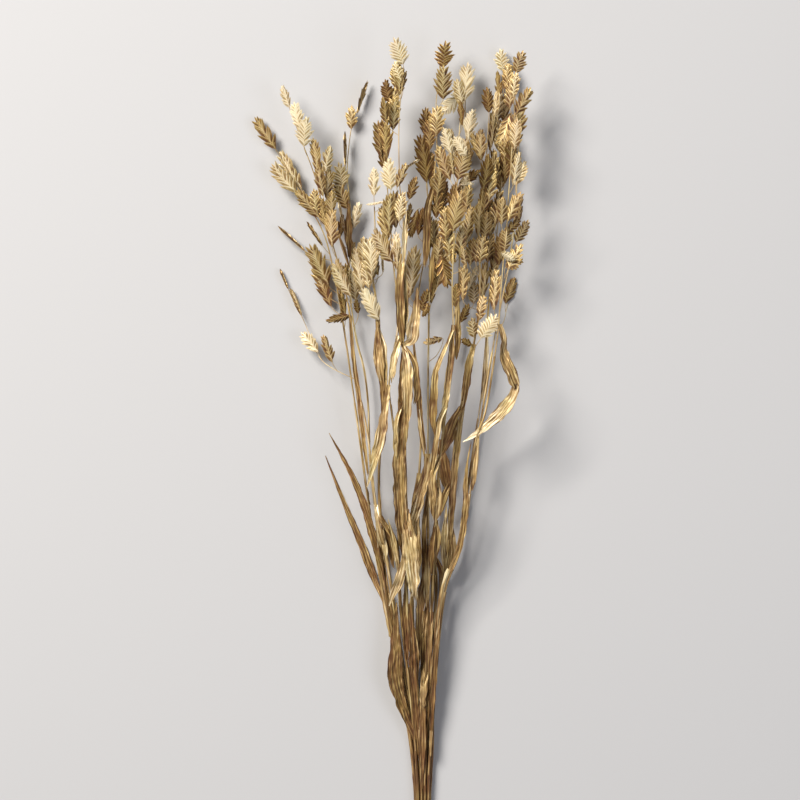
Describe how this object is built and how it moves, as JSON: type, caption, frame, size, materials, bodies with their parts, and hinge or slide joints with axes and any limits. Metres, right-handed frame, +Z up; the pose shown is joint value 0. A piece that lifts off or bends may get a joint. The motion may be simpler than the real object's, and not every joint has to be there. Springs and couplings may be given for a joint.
{
  "type": "dried northern sea oats bunch",
  "caption": "Loose bunch of dried, gold-painted northern sea oats lying on its side: straw-like culms fan out from the cut ends to flat nodding spikelets.",
  "frame": {"origin": "middle of the bunch's bounding box, on the surface that it lies on", "axes": "+Y from the cut ends to the seed heads, +Z up from the surface, +X to the right when seen from above with the seed heads away from the viewer"},
  "size_m": [0.2768, 0.787, 0.0824],
  "materials": {
    "gold_painted_grass": "satin"
  },
  "bodies": {
    "root": {"stem_01": "gold_painted_grass", "stem_02": "gold_painted_grass", "stem_03": "gold_painted_grass", "stem_04": "gold_painted_grass", "stem_05": "gold_painted_grass", "stem_06": "gold_painted_grass", "stem_07": "gold_painted_grass", "stem_08": "gold_painted_grass", "stem_09": "gold_painted_grass", "stem_10": "gold_painted_grass", "stem_11": "gold_painted_grass", "stem_12": "gold_painted_grass", "stem_13": "gold_painted_grass", "stem_14": "gold_painted_grass"}
  },
  "joints": []
}
